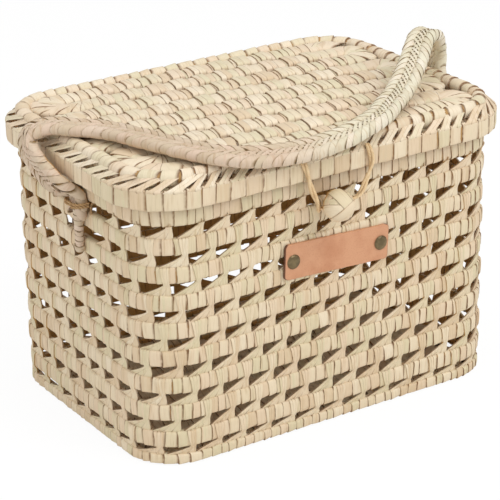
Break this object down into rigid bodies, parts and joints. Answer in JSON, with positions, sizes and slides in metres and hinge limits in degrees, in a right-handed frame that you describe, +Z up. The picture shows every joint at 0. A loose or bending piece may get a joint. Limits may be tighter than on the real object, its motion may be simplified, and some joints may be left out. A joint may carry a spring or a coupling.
{
  "type": "woven lidded box",
  "caption": "Openwork coiled palm-leaf box with a hinged lid, a knob-and-loop closure, a riveted leather label and a soft strap handle laid over the lid.",
  "frame": {"origin": "middle of the flat underside, where the base mat rests", "axes": "+X along the long side to the user's right, +Y from the closure towards the hinge, +Z up"},
  "size_m": [0.3415, 0.2462, 0.2449],
  "materials": {
    "palm_leaf": "dry wrapped palm leaf, pale straw with green and pink strips",
    "string": "two-ply palm string, tan",
    "antique_brass": "antique, dull",
    "leather": "undyed tan leather with darker burnt edges"
  },
  "bodies": {
    "body": {"base_mat": "palm_leaf", "base_edge_coil": "palm_leaf", "wall_coil_1": "palm_leaf", "wall_coil_2": "palm_leaf", "wall_coil_3": "palm_leaf", "wall_coil_4": "palm_leaf", "wall_coil_5": "palm_leaf", "wall_coil_6": "palm_leaf", "wall_coil_7": "palm_leaf", "wall_coil_8": "palm_leaf", "rim_coil": "palm_leaf", "rim_lip_coil": "palm_leaf", "knob_cord": "palm_leaf", "knob_ball": "palm_leaf", "label": "leather", "rivet_left": "antique_brass", "rivet_washer_left": "antique_brass", "strap_keeper_left": "string", "strap_tail_left": "palm_leaf", "rivet_right": "antique_brass", "rivet_washer_right": "antique_brass", "strap_keeper_right": "string", "strap_tail_right": "palm_leaf", "hinge_lashing_left": "string", "hinge_lashing_middle": "string", "hinge_lashing_right": "string"},
    "lid": {"lid_skirt": "palm_leaf", "lid_edge_coil": "palm_leaf", "lid_mat": "palm_leaf"},
    "handle": {"handle_front_cord": "palm_leaf", "handle_rear_cord": "palm_leaf", "handle_plait": "palm_leaf"},
    "closure_loop": {"closure_loop": "string"}
  },
  "joints": [
    {"name": "lid_hinge", "type": "hinge", "parent": "body", "child": "lid", "pos_m": [0, 0.1095, 0.1898], "axis": [-1, 0, 0], "range_deg": [0, 110], "deforming": ["hinge_lashing_left", "hinge_lashing_middle", "hinge_lashing_right"]},
    {"name": "handle_swing", "type": "hinge", "parent": "body", "child": "handle", "pos_m": [0, -0.018, 0.1738], "axis": [-1, 0, 0], "range_deg": [0, 65], "deforming": ["handle_front_cord", "handle_rear_cord", "handle_plait"]},
    {"name": "loop_flip", "type": "hinge", "parent": "lid", "child": "closure_loop", "pos_m": [-0.0065, -0.1165, 0.2053], "axis": [-1, 0, 0], "range_deg": [0, 120], "deforming": ["closure_loop"]}
  ]
}
